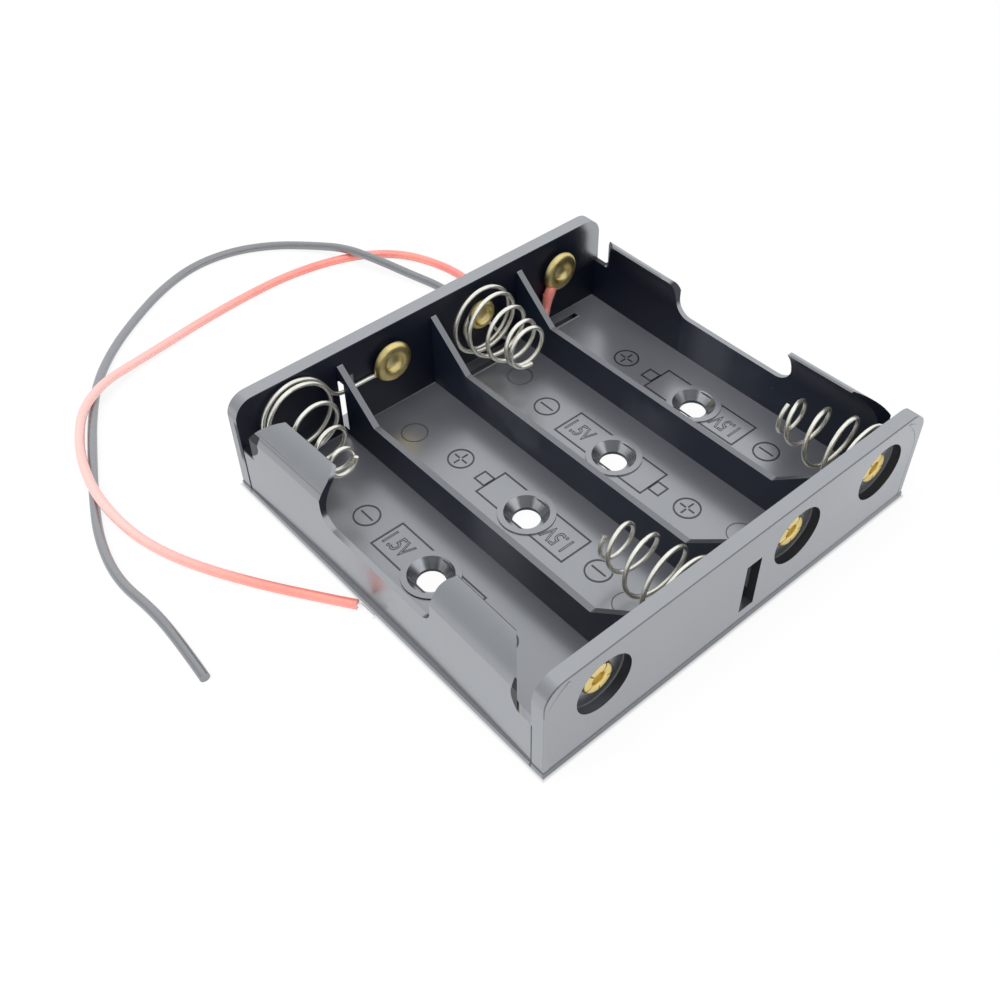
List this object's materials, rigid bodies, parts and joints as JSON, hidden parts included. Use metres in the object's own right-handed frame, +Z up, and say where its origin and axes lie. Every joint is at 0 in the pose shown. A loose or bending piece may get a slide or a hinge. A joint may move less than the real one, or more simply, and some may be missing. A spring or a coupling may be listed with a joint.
{
  "type": "cylindrical cell holder",
  "caption": "Flat open tray with sprung side lips that holds cylindrical cells side by side, wired in series, with flying leads.",
  "frame": {"origin": "middle of the housing's underside, where it rests", "axes": "+X across the cells toward row d, +Y along the cells toward the wall that the leads leave, +Z up out of the bays"},
  "size_m": [0.0842, 0.1062, 0.015],
  "materials": {
    "housing_black": "smooth moulded, softly glossy",
    "contact_brass": "drawn, bright",
    "spring_nickel": "bright nickel plate",
    "lead_red": "smooth insulation",
    "lead_black": "smooth insulation",
    "strands_tinned": "tinned strands"
  },
  "bodies": {
    "root": {"holder_body": "housing_black", "eyelet_back_b": "contact_brass", "eyelet_back_c": "contact_brass", "eyelet_back_d": "contact_brass", "eyelet_front_a": "contact_brass", "eyelet_front_c": "contact_brass", "eyelet_front_d": "contact_brass", "spring_back_a": "spring_nickel", "spring_front_b": "spring_nickel", "spring_back_c": "spring_nickel", "spring_front_d": "spring_nickel", "red_lead": "lead_red", "black_lead": "lead_black", "red_lead_clamped_end": "strands_tinned", "black_lead_clamped_end": "strands_tinned", "red_lead_bare_tip": "strands_tinned"}
  },
  "joints": []
}
